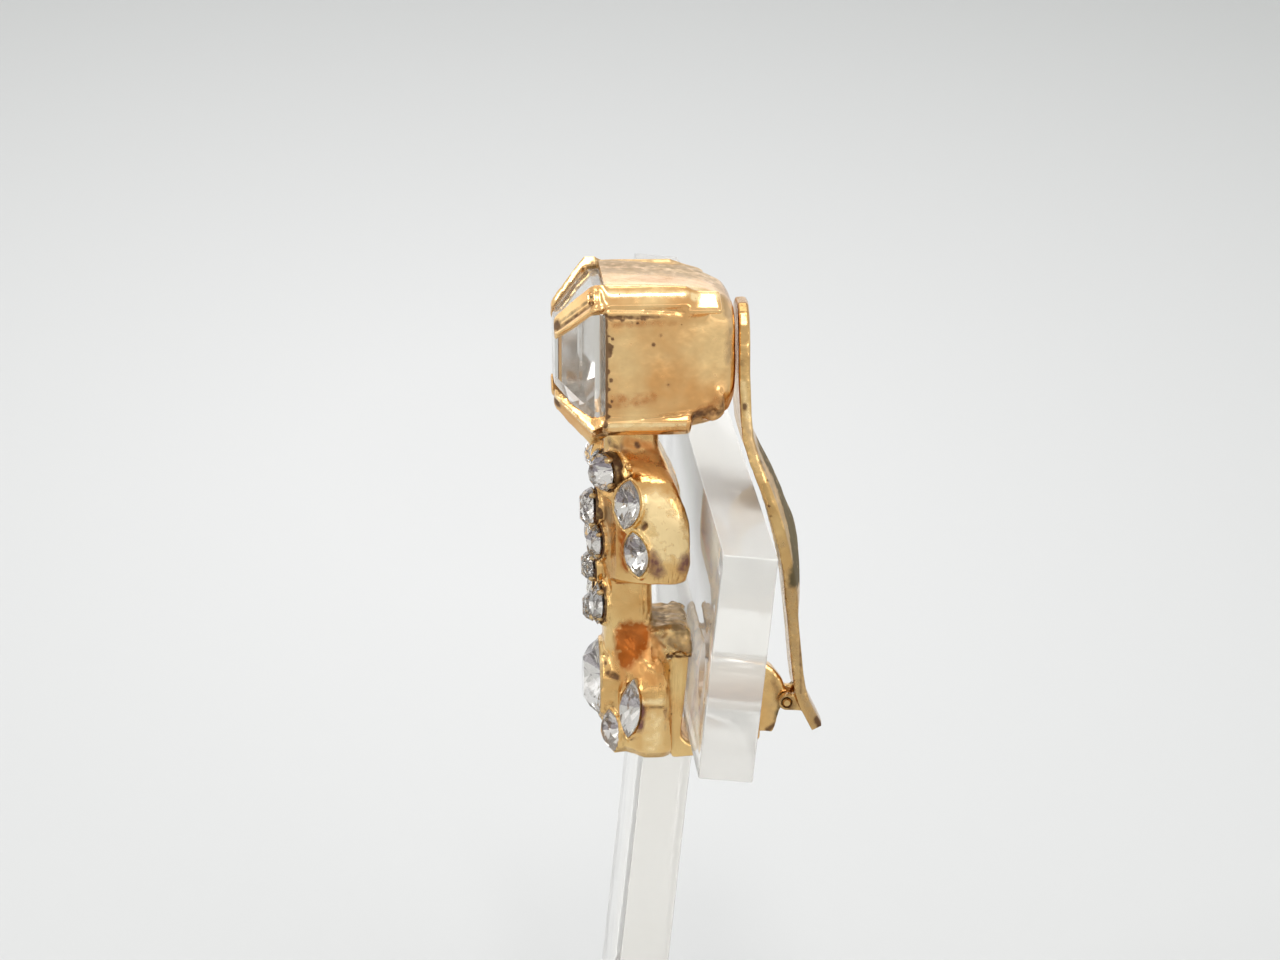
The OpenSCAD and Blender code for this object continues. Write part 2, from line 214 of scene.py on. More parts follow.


# %% [markdown]
# One recipe serves every plated piece, with its own tints, waves and pits. It lays colour,
# roughness and metalness for each kind of wear and painted light over the clean gold, then stacks four bumps.
# Patterns are sized in millimetres, so that they stay true when a piece is reused.

# %% Gold plate
def gold_plate(name, waves=0.03, pits=0.6, brushed=0.0, pale=GOLD_PALE, deep=GOLD_DEEP):
    """Gold plate that reads its wear and painted light from the mesh; waves and brushed in mm, pits from 0 to 1.
    """
    material, tree, place = new_material(name)

    # The gold drifts from pale to deep, and painted shade darkens it in the crevices.
    drift = add(tree, "ShaderNodeTexNoise", sized(place, DRIFT_SIZE, Detail=3))
    drift = add(tree, "ShaderNodeMapRange", {"Value": drift, "From Min": 0.35, "From Max": 0.65})
    colour = add(tree, "ShaderNodeMix", {"Factor": drift, 6: pale, 7: deep}, data_type="RGBA")
    sharp = add(tree, "ShaderNodeNewGeometry").outputs["Pointiness"]
    sharp = add(tree, "ShaderNodeMapRange", {
        "Value": sharp, "From Min": 0.49, "From Max": 0.43, "To Max": 0.8,
    })
    colour = add(tree, "ShaderNodeMix", {"Factor": sharp, 6: colour, 7: GOLD_CREVICE_SHADE}, data_type="RGBA")
    grain = add(tree, "ShaderNodeTexNoise", sized(place, GRAIN_SIZE, Detail=5))
    rough = add(tree, "ShaderNodeMapRange", {
        "Value": grain, "From Min": 0.3, "From Max": 0.75,
        "To Min": GOLD_ROUGHNESS * 0.6, "To Max": GOLD_ROUGHNESS * 1.5,
    })
    metal = 1.0

    # Each kind of wear and painted light covers it where its layer says, with a ragged edge.
    ragged = add(tree, "ShaderNodeTexNoise", sized(place, RAGGED_SIZE, Detail=6))
    ragged = add(tree, "ShaderNodeMapRange", {
        "Value": ragged, "From Min": 0.3, "From Max": 0.7, "To Min": -RAGGED, "To Max": RAGGED,
    })
    for layer, (hue, strength, dull, metallic) in WEAR_AND_PAINTED_LIGHT.items():
        marking = add(tree, "ShaderNodeAttribute", attribute_name=layer).outputs["Fac"]
        frayed = add(tree, "ShaderNodeMath", {0: ragged, 1: marking, 2: marking}, operation="MULTIPLY_ADD")
        share = add(tree, "ShaderNodeMapRange", {
            "Value": frayed, "From Min": 0.12, "From Max": 0.75, "To Max": strength,
        })
        colour = add(tree, "ShaderNodeMix", {"Factor": share, 6: colour, 7: hue}, data_type="RGBA")
        rough = add(tree, "ShaderNodeMix", {"Factor": share, 2: rough, 3: dull})
        metal = add(tree, "ShaderNodeMix", {"Factor": share, 2: metal, 3: metallic})

    # Pits are the hearts of a few Voronoi cells, wider where the casting was gassy.
    cells = add(tree, "ShaderNodeTexVoronoi", sized(place, PIT_SPACING))
    gassy = add(tree, "ShaderNodeTexNoise", sized(place, GASSY_SIZE, Detail=2))
    wide = add(tree, "ShaderNodeMapRange", {
        "Value": gassy, "From Min": 0.45, "From Max": 0.7, "To Max": PIT_WIDTH * pits,
    })
    pit = add(tree, "ShaderNodeMath", {0: cells, 1: wide}, operation="LESS_THAN")
    colour = add(tree, "ShaderNodeMix", {"Factor": pit, 6: colour, 7: PIT_COLOUR}, data_type="RGBA")

    # The relief, from coarse to fine: low waves, scratches, brush strokes and the pits.
    swell = add(tree, "ShaderNodeTexNoise", sized(place, WAVE_SIZE, Detail=2))
    relief = add(tree, "ShaderNodeBump", {"Height": swell, "Distance": 4 * waves * MM, "Strength": 0.5})
    fine = add(tree, "ShaderNodeTexNoise", sized(place, SCRATCH_SIZE, Detail=6))
    relief = add(tree, "ShaderNodeBump", {
        "Height": fine, "Distance": waves * MM, "Strength": 0.4, "Normal": relief,
    })
    along = add(tree, "ShaderNodeMapping", {
        "Vector": place, "Rotation": (math.radians(BRUSH_ANGLE), 0, 0), "Scale": (1, 1, 0.05),
    })
    strokes = add(tree, "ShaderNodeTexNoise", sized(along, BRUSH_ACROSS, Detail=3))
    relief = add(tree, "ShaderNodeBump", {
        "Height": strokes, "Distance": brushed * MM, "Strength": 0.5, "Normal": relief,
    })
    relief = add(tree, "ShaderNodeBump", {
        "Height": pit, "Distance": PIT_DEPTH * MM, "Strength": 0.6, "Normal": relief,
    }, invert=True)
    surface(tree, {"Base Color": colour, "Roughness": rough, "Metallic": metal, "Normal": relief})
    return material


# %% [markdown]
# ## Foiled glass
#
# A rhinestone is lead glass with silver foil or a mirror coat on its back. Light goes in
# through the crown, comes back off the foil and leaves by another facet, which is why it is
# white in one facet and dark grey in the next. Two materials on one mesh say exactly that:
# clear glass on the crown and the girdle, and polished silver on the facets below. The silver
# also carries painted light and shade: facets at the lower end are painted white, as lit from
# above, and those in the middle are painted dark.

# %% Crystal and foil
CRYSTAL_IOR = 1.56
HAZE_SIZE = 0.7


def crystal(name, tint="#FFFFFF", haze=0.05):
    """Clear cut glass, with the faintest unevenness of a moulded and polished face."""
    material, tree, place = new_material(name)
    uneven = add(tree, "ShaderNodeTexNoise", sized(place, HAZE_SIZE, Detail=3))
    rough = add(tree, "ShaderNodeMapRange", {"Value": uneven, "To Max": haze})
    surface(tree, {
        "Base Color": tint, "Transmission Weight": 1.0, "IOR": CRYSTAL_IOR, "Roughness": rough,
    })
    return material


PATCH_SIZE = 0.8
FOIL_OLIVE = "#605C46"
# From which value of the facet layer to which one the silver turns into the next tone.
# The tones are painted light and shade on the silver.
FOIL_TONES = [(0.06, 0.22, "#9D9399"), (0.25, 0.4, "#E9E5DF"), (0.8, 1.0, "#DFE2D3")]


def foil(name, metallic):
    """The silvered back of a stone. Each facet has the tone of its layer, painted light and shade from white
    through grey to olive, with pale patches.
    """
    material, tree, place = new_material(name)
    facet = add(tree, "ShaderNodeAttribute", attribute_name="facet").outputs["Fac"]
    tone = FOIL_OLIVE
    for low, high, next_tone in FOIL_TONES:
        share = add(tree, "ShaderNodeMapRange", {"Value": facet, "From Min": low, "From Max": high})
        tone = add(tree, "ShaderNodeMix", {"Factor": share, 6: tone, 7: next_tone}, data_type="RGBA")
    patch = add(tree, "ShaderNodeTexNoise", sized(place, PATCH_SIZE, Detail=4))
    bright = add(tree, "ShaderNodeMapRange", {
        "Value": patch, "From Min": 0.5, "From Max": 0.75, "To Max": 0.6,
    })
    tone = add(tree, "ShaderNodeMix", {"Factor": bright, 6: tone, 7: "#FFFFFF"}, data_type="RGBA")
    surface(tree, {"Base Color": tone, "Metallic": metallic, "Roughness": 0.1})
    return material


CRYSTAL = crystal("lead_crystal_cut")
GIRDLE_GLASS = crystal("lead_crystal_ground_girdle", tint="#D6D3CC", haze=0.2)
FOIL = foil("silver_foil_backing", 0.8)
MIRROR_COAT = foil("mirror_coat_backing", 0.85)

# %% [markdown]
# ## Clear acrylic
#
# The stand is cast acrylic sheet, 3 mm thick, cut by laser and set in a thicker foot. Acrylic
# bends light less than glass does, and its cut edges are flame-bright with faint bands. A
# little roughness makes it milky enough to be seen against a pale room.

# %% Acrylic
ACRYLIC_IOR = 1.49
RUBBED_SIZE = 4
BAND_SIZE = 6


def acrylic(name, clear, smooth, dull, tint="#FFFDF8", burnt="#FFFDF8", burnt_below=0):
    """Cast acrylic: clear is the share that goes straight through, smooth to dull its roughness."""
    material, tree, place = new_material(name)
    height = add(tree, "ShaderNodeSeparateXYZ", {0: place}).outputs["Z"]
    below = add(tree, "ShaderNodeMapRange", {
        "Value": height, "From Min": (burnt_below + 0.5) * MM, "From Max": (burnt_below - 0.4) * MM,
    })
    colour = add(tree, "ShaderNodeMix", {"Factor": below, 6: tint, 7: burnt}, data_type="RGBA")
    rubbed = add(tree, "ShaderNodeTexNoise", sized(place, RUBBED_SIZE, Detail=3))
    rough = add(tree, "ShaderNodeMapRange", {
        "Value": rubbed, "From Min": 0.3, "From Max": 0.7, "To Min": smooth, "To Max": dull,
    })
    bands = add(tree, "ShaderNodeTexWave", sized(place, BAND_SIZE, Distortion=2, Detail=2),
                bands_direction="Z").outputs["Fac"]
    relief = add(tree, "ShaderNodeBump", {"Height": bands, "Distance": 0.01 * MM, "Strength": 0.3})
    surface(tree, {
        "Base Color": colour, "Roughness": rough, "Normal": relief,
        "Transmission Weight": clear, "IOR": ACRYLIC_IOR,
    })
    return material


ACRYLIC_FACE = acrylic("cast_acrylic_polished_face", 0.85, 0.02, 0.08)
ACRYLIC_EDGE = acrylic("cast_acrylic_cut_edge", 0.6, 0.04, 0.1)
HOLE_Z = 43.4
ACRYLIC_HOLE = acrylic("cast_acrylic_burnt_hole", 0.62, 0.05, 0.15,
                       tint="#EADFD0", burnt="#BD9870", burnt_below=HOLE_Z)

# %% [markdown]
# ## From a bmesh to a piece
#
# Every piece ends the same way: its mesh is scaled to metres, gets its materials and rides on
# one of the frame's bodies, and the solid it stands for is hidden. The object itself stays at
# the origin, so its patterns can read its own coordinates.


# %% Finishing a piece
def new_object(bm, name):
    """Puts a bmesh into the scene as an object and frees it."""
    mesh = bpy.data.meshes.new(name)
    bm.to_mesh(mesh)
    bm.free()
    made = bpy.data.objects.new(name, mesh)
    scene.collection.objects.link(made)
    return made


def finish_piece(bm, name, materials, body, replaced, smooth_angle=30):
    """Makes an object of a bmesh in millimetres and fixes it in the frame."""
    bm.transform(TO_METRES)
    piece = new_object(bm, name)
    for material in materials:
        piece.data.materials.append(material)
    for face in piece.data.polygons:
        face.use_smooth = smooth_angle > 0
    if smooth_angle > 0:
        piece.data.set_sharp_from_angle(angle=math.radians(smooth_angle))
    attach(piece, body)
    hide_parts(*replaced)
    print(name, "has", len(piece.data.polygons), "faces")


def solid_copy(node):
    """A copy of a solid's mesh in millimetres, its loose triangles joined."""
    bm = bmesh.new()
    bm.from_mesh(frame["nodes"][node].data)
    bm.transform(TO_MM)
    bmesh.ops.remove_doubles(bm, verts=bm.verts, dist=0.0005)
    return bm


def soften(bm, voxel, rounds):
    """Fuses overlapping forms into one skin and rounds its edges, as plating and polishing do."""
    rough = new_object(bm, "raw")
    mesh = rough.data
    fuse = rough.modifiers.new("fuse", "REMESH")
    fuse.mode = "VOXEL"
    fuse.voxel_size = voxel
    ease = rough.modifiers.new("ease", "SMOOTH")
    ease.factor = 0.5
    ease.iterations = rounds
    shaped = rough.evaluated_get(bpy.context.evaluated_depsgraph_get()).to_mesh()
    skin = bmesh.new()
    skin.from_mesh(shaped)
    for kind in WEAR_AND_PAINTED_LIGHT:
        skin.verts.layers.float.new(kind)
    bpy.data.objects.remove(rough)
    bpy.data.meshes.remove(mesh)
    print("skin of", len(skin.verts), "points")
    return skin


# %% [markdown]
# ## Working the skin
#
# A finished casting is touched up with a burin, a punch and a wheel, and its dirt follows the
# same places. Each mark here is a line on the earring, from one point to another, with a width.
# A search tree finds the points of the skin close to it. They are pressed in, or raised where
# the depth is negative, and the same kind of mark writes wear and painted light into layers.
# The earring is the same on both sides, so most marks are made twice.


# %% Marks on the skin
def both(marks):
    """The marks, and their mirror images on the other side of the earring."""
    return marks + [((-p[0], p[1], p[2]), (-q[0], q[1], q[2]), *rest) for p, q, *rest in marks]


def near_line(bm, tree, start, end, width):
    """The points within a width of a line, each with its share: 1 on the line, 0 at the edge."""
    a, b = ear(*start), ear(*end)
    for place, index, _ in tree.find_range((a + b) / 2, (b - a).length / 2 + width):
        share = intersect_point_line(place, a, b)[1] if a != b else 0
        reach = 1 - (place - a.lerp(b, min(max(share, 0), 1))).length / width
        if reach > 0:
            yield bm.verts[index], reach * reach * (3 - 2 * reach)


def search_tree(bm):
    """A search tree of the mesh's points."""
    tree = kdtree.KDTree(len(bm.verts))
    for index, vert in enumerate(bm.verts):
        tree.insert(vert.co, index)
    tree.balance()
    bm.verts.ensure_lookup_table()
    return tree


def press_in(bm, marks):
    """Presses marks into the skin: start, end, width and depth in mm."""
    bm.normal_update()
    tree = search_tree(bm)
    moves = {}
    for start, end, width, depth in marks:
        for vert, share in near_line(bm, tree, start, end, width):
            moves[vert] = moves.get(vert, Vector()) - vert.normal * depth * share
    for vert, move in moves.items():
        vert.co += move


def wear_and_painted_light(bm, kind, marks):
    """Writes marks into a layer, for wear and for painted light alike: start, end, width in mm and strength."""
    layer = bm.verts.layers.float[kind]
    tree = search_tree(bm)
    for start, end, width, strength in marks:
        for vert, share in near_line(bm, tree, start, end, width):
            vert[layer] = max(vert[layer], strength * share)


def polish(bm, rounds, where):
    """Smooths the points for whose place on the earring where() says yes, as a wheel rounds them."""
    verts = [vert for vert in bm.verts if where(*(vert.co - EAR))]
    for _ in range(rounds):
        bmesh.ops.smooth_vert(
            bm, verts=verts, factor=0.5, use_axis_x=True, use_axis_y=True, use_axis_z=True,
        )


def ripple(bm, size, height, seed, where=lambda x, y, z: True):
    """Pushes each point along its normal by smooth noise, as an uneven casting has."""
    bm.normal_update()
    offset = Vector((seed, 2 * seed, 3 * seed))
    for vert in bm.verts:
        if where(*(vert.co - EAR)):
            vert.co += vert.normal * height * noise.noise(vert.co / size + offset)


def specks(count, low, high, width, depth, seed):
    """Small round marks strewn in a box between two corners, for pits, grains and dark spots."""
    random.seed(seed)
    places = [tuple(random.uniform(a, b) for a, b in zip(low, high)) for _ in range(count)]
    return [(place, place, width * random.uniform(0.6, 1.3), depth) for place in places]


# %% [markdown]
# ## The soldered frame
#
# The big setting, the cascade and the clip's bracket are separate castings, soldered into one
# piece. Their solids are already the right size, so each piece here starts from a copy, is cut
# out of it with a plane, and gets its beads and claws. A voxel remesh then fuses it all and
# melts the edges by a tenth of a millimetre, which is what gives cast metal its soft look.

# %% Where the castings part
# The castings overlap a little in height, so that no gap opens where they meet.
CUP_FROM = 19.72
CASCADE_TO = 19.95


def keep_above(bm, z, above=True):
    """Cuts a closed mesh with a level plane, keeps one side and closes the cut."""
    cut = bmesh.ops.bisect_plane(
        bm, geom=bm.verts[:] + bm.edges[:] + bm.faces[:], plane_co=ear(0, 0, z),
        plane_no=(0, 0, 1), clear_inner=above, clear_outer=not above,
    )
    edges = [item for item in cut["geom_cut"] if isinstance(item, bmesh.types.BMEdge)]
    bmesh.ops.triangle_fill(bm, edges=edges, use_beauty=True)


def turned(centre, size, turn):
    """The matrix that stretches a unit form, turns it by degrees round y and puts it on the earring."""
    turning = Matrix.Rotation(math.radians(turn), 4, "Y")
    return Matrix.Translation(ear(*centre)) @ turning @ Matrix.Diagonal((*size, 1))


def bead(bm, centre, radii, turn=0):
    """Adds a ball stretched to its radii, that the remesh fuses with what it touches."""
    bmesh.ops.create_icosphere(bm, subdivisions=3, radius=1, matrix=turned(centre, radii, turn))


def slab(bm, centre, size, turn=0):
    """Adds a block, that the remesh fuses with what it touches."""
    bmesh.ops.create_cube(bm, size=1, matrix=turned(centre, size, turn))


# %% [markdown]
# The big setting is a deep cast box with a stem along each cut corner, whose end is bent over
# the stone as a prong. Balls give it the crimps of the upper stems and its lumpy lower back
# edge, and a block of solder lies at the near stem's far end. It could be modelled by hand
# from a box, but the solid is exact already, so a copy is softened, smoothed where a wheel
# reached it and pressed where a tool or a fault did.

# %% Form of the big setting
CUP_VOXEL = 0.09
WALL_PITS = [
    (4.42, 3.15, 25.88), (4.42, 2.75, 25.36), (4.42, 3.61, 22.95), (4.42, 3.95, 21.94),
    (4.42, 5.21, 22.98), (4.42, 5.43, 23.45), (4.42, 5.89, 23.73),
]
# How many pits are strewn along the wall's back edge, and the corners of their box.
BACK_PITS = (46, (3.9, 6.5, 23.0), (4.4, 7.4, 26.9))

cup = solid_copy("soldered_frame")
keep_above(cup, CUP_FROM)
for side in (1, -1):
    for y in (-0.95, -0.62, -0.3):
        bead(cup, (side * 4.02, y, 28.05), (0.14, 0.11, 0.52), turn=-45 * side)
    bead(cup, (side * 3.85, 6.8, 22.2), (0.36, 0.26, 0.42))
    bead(cup, (side * 3.6, 6.72, 21.45), (0.4, 0.34, 0.55), turn=25 * side)
    bead(cup, (side * 3.2, 6.2, 20.95), (0.55, 0.55, 0.32), turn=35 * side)
slab(cup, (3.78, 5.72, 27.68), (0.48, 2.05, 1.6), turn=-45)
bead(cup, (-3.35, 5.2, 27.85), (0.5, 1.25, 0.42), turn=45)
cup = soften(cup, CUP_VOXEL, 2)

# The wheel: the walls, the upper back, the whole back, the far bead, the top and the near block.
polish(cup, 5, lambda x, y, z: y > 0.25)
polish(cup, 25, lambda x, y, z: y > 4.9 and z > 24.5 and abs(x) < 4.0)
polish(cup, 12, lambda x, y, z: y > 5.2)
polish(cup, 90, lambda x, y, z: x < -2.3 and 4.3 < y < 6.8 and z > 26.6)
polish(cup, 3, lambda x, y, z: y > 4.4 and z > 27.0)
polish(cup, 14, lambda x, y, z: x > 2.6 and 4.2 < y < 7.0 and z > 26.9)
ripple(cup, 1.7, 0.03, 3, lambda x, y, z: y > 0.3)
ripple(cup, 0.45, 0.05, 9, lambda x, y, z: y > 5.9 and z < 21.7)

# The tool: seams of the stems and the wall, dents of the lower back edge, a chip, the prongs'
# grooves and ridges, and scratches on the top.
press_in(cup, both([
    ((4.42, 0.1, 27.0), (4.42, 6.4, 26.95), 0.16, 0.07),
    ((4.42, 0.1, 21.15), (4.42, 4.6, 21.1), 0.16, 0.06),
    ((4.42, 4.75, 21.5), (4.42, 4.75, 27.0), 0.14, 0.025),
    ((4.25, 7.1, 22.95), (4.1, 6.8, 22.75), 0.45, 0.45),
    ((4.2, 7.1, 22.5), (3.9, 7.0, 21.3), 0.75, 0.3),
    ((4.3, -0.8, 27.82), (2.5, -2.72, 25.92), 0.2, 0.1),
    ((4.42, 0.25, 25.1), (4.42, 0.25, 24.9), 0.22, 0.08),
    ((4.56, -0.8, 20.35), (2.55, -2.72, 21.9), 0.24, -0.08),
    ((4.18, -0.8, 20.0), (2.28, -2.72, 21.6), 0.26, 0.07),
    ((4.56, -0.8, 27.5), (2.72, -2.72, 25.68), 0.22, -0.05),
    ((3.4, 5.2, 28.62), (2.8, 5.5, 28.62), 0.1, 0.05),
    ((3.2, 6.0, 28.55), (2.9, 6.3, 28.5), 0.1, 0.05),
]) + [(pit, pit, 0.13, 0.06) for pit in WALL_PITS] + both(specks(*BACK_PITS, 0.14, 0.08, 11)))
polish(cup, 40, lambda x, y, z: x > 3.0 and 5.4 < y < 7.2 and 21.8 < z < 23.6)

# %% [markdown]
# The setting is dark in its seams, along its back edge and at the prongs' tips, and has pits
# with dark hearts. Its corners are rubbed pale, some pale marks are painted highlights, and its
# top is dull. These marks stand where the photograph has them.

# %% Wear and painted light of the big setting
PRONG_TIPS = [(2.3, -2.72, 26.1), (-2.13, -2.72, 26.33), (-2.19, -2.72, 21.34), (2.13, -2.72, 21.48)]

wear_and_painted_light(cup, "brown", [(tip, tip, 0.6, 1.2) for tip in PRONG_TIPS] + both([
    ((4.42, 0.0, 20.1), (4.42, 0.0, 27.1), 0.24, 1.3),
    ((4.42, 0.25, 25.15), (4.42, 0.2, 24.85), 0.3, 1.5),
    ((4.4, 0.0, 26.98), (4.42, 5.0, 26.95), 0.22, 1.1),
    ((4.3, -0.8, 27.82), (2.5, -2.72, 25.92), 0.24, 1.4),
    ((4.25, 7.0, 22.95), (4.1, 6.75, 22.75), 0.4, 1.6),
    ((4.3, 7.0, 26.9), (4.2, 7.0, 23.2), 0.6, 1.05),
    ((4.0, 7.0, 22.1), (3.8, 6.6, 21.2), 0.5, 0.8),
    ((3.9, 6.8, 21.2), (3.6, 5.0, 21.0), 0.7, 0.8),
    ((3.6, -0.3, 19.9), (3.0, 0.5, 19.8), 0.45, 0.9),
    ((3.3, 2.0, 19.9), (3.3, 4.8, 19.8), 0.5, 0.6),
    ((3.05, -0.35, 28.5), (2.7, -0.2, 28.6), 0.25, 0.8),
    ((3.5, 5.2, 28.5), (2.8, 5.5, 28.62), 0.16, 0.9),
]) + [(pit, pit, 0.25, 2.2) for pit in WALL_PITS] + both(
    specks(*BACK_PITS, 0.17, 2.0, 11)
    + specks(16, (4.4, 0.0, 20.4), (4.45, 0.45, 27.0), 0.2, 1.6, 13)
    + specks(14, (4.4, 0.3, 26.6), (4.45, 4.8, 27.0), 0.18, 1.4, 14)
))
wear_and_painted_light(cup, "olive", both([((4.05, -0.8, 28.1), (2.3, -2.72, 26.2), 0.26, 0.8)]) + [
    ((-1.8, 0.6, 28.6), (-1.6, 5.6, 28.3), 2.4, 0.23),
])
wear_and_painted_light(cup, "orange", both([
    ((4.42, 0.5, 22.1), (4.42, 2.6, 22.2), 0.8, 0.42),
    ((4.42, 0.4, 26.6), (4.42, 4.4, 26.6), 0.45, 0.4),
    ((4.0, 7.0, 22.1), (3.6, 5.0, 21.0), 0.9, 0.35),
    ((3.4, 2.2, 19.8), (2.6, 4.6, 19.8), 0.6, 0.8),
]))
wear_and_painted_light(cup, "dull", [
    ((-2.6, 0.4, 28.6), (-2.4, 6.2, 28.5), 1.9, 0.9),
    ((-0.6, 0.4, 28.6), (-0.4, 6.2, 28.5), 1.6, 0.8),
    ((-2.2, 6.5, 27.9), (1.4, 6.8, 27.6), 0.8, 0.7),
    ((2.2, 6.9, 27.5), (2.9, 7.1, 26.8), 0.8, 0.9),
    ((3.0, 7.1, 26.6), (3.3, 7.1, 24.2), 0.6, 0.7),
] + both([((4.42, 1.0, 24.5), (4.42, 5.5, 24.5), 2.2, 0.14)]))
# Pale marks here are painted highlights, on the top's shoulder, the solder block, the stems and the prongs, over
# edges that are rubbed pale.
wear_and_painted_light(cup, "pale", both([
    ((4.0, 0.2, 28.3), (4.0, 4.6, 28.25), 0.42, 0.8),
    ((3.9, 5.1, 28.0), (3.8, 6.3, 28.0), 0.5, 1.0),
    ((4.56, -0.8, 20.35), (2.55, -2.72, 21.9), 0.26, 1.0),
    ((4.35, 0.1, 20.6), (4.35, 4.5, 20.6), 0.3, 0.8),
]) + [
    ((-4.2, -0.8, 28.1), (-2.4, -2.5, 26.6), 0.5, 0.9),
    ((2.7, 0.3, 28.62), (2.6, 5.6, 28.55), 0.8, 0.9),
])
PLATE_CUP = gold_plate(
    "gold_plated_casting_cup", waves=0.02, brushed=0.008, pale="#F6CF93", deep="#E2AB6C",
)
finish_piece(cup, "setting_big", [PLATE_CUP], "root", ["soldered_frame"])

# %% [markdown]
# The cascade is a thin casting, folded back at its sides into two pairs of wings, with the
# clip's bracket soldered to its back. The lower wings meet the middle in a worn hollow, so
# they are smoothed far more than the rest. The bracket's pad was crumpled by the heat, which
# is smooth noise of several sizes, one on another.

# %% Form of the cascade and the bracket
CASCADE_VOXEL = 0.1

cascade = solid_copy("soldered_frame")
keep_above(cascade, CASCADE_TO, above=False)
for side in (1, -1):
    bead(cascade, (side * 3.2, 1.4, 17.87), (0.26, 0.24, 0.26))
cascade = soften(cascade, CASCADE_VOXEL, 2)

# The wheel: the upper wings, the worn hollow, the pad, the whole back and the lower seats.
polish(cascade, 24, lambda x, y, z: 15.6 < z < 19.4 and y > 1.5 and abs(x) > 1.2)
polish(cascade, 115, lambda x, y, z: 5.0 < z < 8.6 and 0.7 < y < 3.9 and abs(x) > 1.9)
polish(cascade, 20, lambda x, y, z: z > 7.2 and 2.8 < y and z < 8.6 and abs(x) < 3.6)
polish(cascade, 6, lambda x, y, z: y > 1.6)
polish(cascade, 25, lambda x, y, z: 4.2 < z < 7.6 and -0.4 < y < 1.2 and abs(x) > 1.7)

# The tool deepens the hollow and dents the wings. Then come the casting's waves and the pad's
# crumples, coarse and fine, and grains along the pad's lower edge.
press_in(cascade, both([
    ((2.3, 1.65, 7.7), (2.8, 1.65, 6.4), 1.2, 0.25),
    ((2.4, 1.9, 18.1), (2.9, 3.3, 17.6), 0.9, 0.08),
    ((2.9, 0.9, 18.3), (2.9, 0.9, 16.6), 0.22, 0.25),
    ((4.05, 2.3, 14.6), (3.95, 2.25, 14.5), 0.3, 0.18),
    ((2.3, 0.4, 5.1), (2.3, 0.5, 5.05), 0.2, 0.1),
]))
ripple(cascade, 1.1, 0.05, 7)
ripple(cascade, 0.75, 0.22, 17, lambda x, y, z: 6.15 < z < 8.3 and 2.7 < y < 5.4 and abs(x) > 2.0)
ripple(cascade, 0.3, 0.13, 19, lambda x, y, z: 6.15 < z < 7.9 and 2.7 < y < 5.4 and abs(x) > 2.0)
ripple(cascade, 0.6, 0.07, 21, lambda x, y, z: 7.5 < z < 8.6 and 2.6 < y < 5.4)
ripple(cascade, 0.45, 0.08, 23, lambda x, y, z: 4.4 < z < 6.2 and 1.9 < y < 3.8 and abs(x) > 3.0)
press_in(cascade, both(specks(12, (2.6, 3.4, 6.05), (3.0, 5.3, 6.35), 0.18, -0.14, 29)))

# %% [markdown]
# Heat from soldering left orange and purple on the cascade, and its shaded back went brown and
# olive. The upper wings' flats are polished pale by fingers and carry painted highlights, as do a
# ridge and a bead, and a painted warm reflection lies in the hollows and along the wings' tops.

# %% Wear and painted light of the cascade and the bracket
wear_and_painted_light(cascade, "orange", both([
    ((2.2, 1.4, 7.5), (2.7, 1.4, 6.3), 1.15, 1.6),
    ((2.1, 1.6, 19.0), (2.1, 3.2, 18.6), 0.6, 0.35),
    ((2.2, 2.05, 7.6), (2.9, 2.05, 6.2), 0.95, 1.6),
    ((3.2, 1.0, 14.0), (3.3, 1.2, 12.0), 0.65, 0.8),
]))
# Painted warm reflection: a less metallic orange-brown where the hollow, the neck and the upper wings' tops
# reflect gold.
wear_and_painted_light(cascade, "warm_reflection", both([
    ((3.0, 2.2, 6.95), (3.8, 3.1, 5.95), 0.6, 1.5),
    ((2.1, 1.4, 19.0), (2.1, 3.2, 18.6), 0.6, 0.9),
    ((2.5, 1.5, 18.9), (2.8, 3.3, 18.4), 0.9, 1.0),
    ((3.0, 1.8, 18.0), (3.4, 3.8, 17.5), 0.8, 1.2),
    ((3.0, 1.2, 6.4), (3.9, 2.8, 5.2), 0.9, 1.2),
    ((2.5, 2.7, 7.4), (2.9, 3.1, 6.2), 0.75, 1.4),
    ((2.4, 0.6, 6.0), (3.0, 1.0, 5.0), 0.7, 0.7),
]))
wear_and_painted_light(cascade, "purple", both([
    ((4.4, 2.6, 12.8), (4.4, 3.0, 11.9), 0.8, 0.75),
    ((4.4, 4.65, 12.6), (4.4, 4.55, 12.0), 0.75, 0.8),
    ((4.4, 1.96, 3.7), (4.4, 1.84, 2.0), 0.55, 1.0),
    ((4.4, 3.6, 3.5), (4.4, 3.65, 1.8), 0.45, 1.0),
    ((2.4, 0.2, 19.4), (2.4, 1.1, 18.6), 0.6, 0.8),
]))
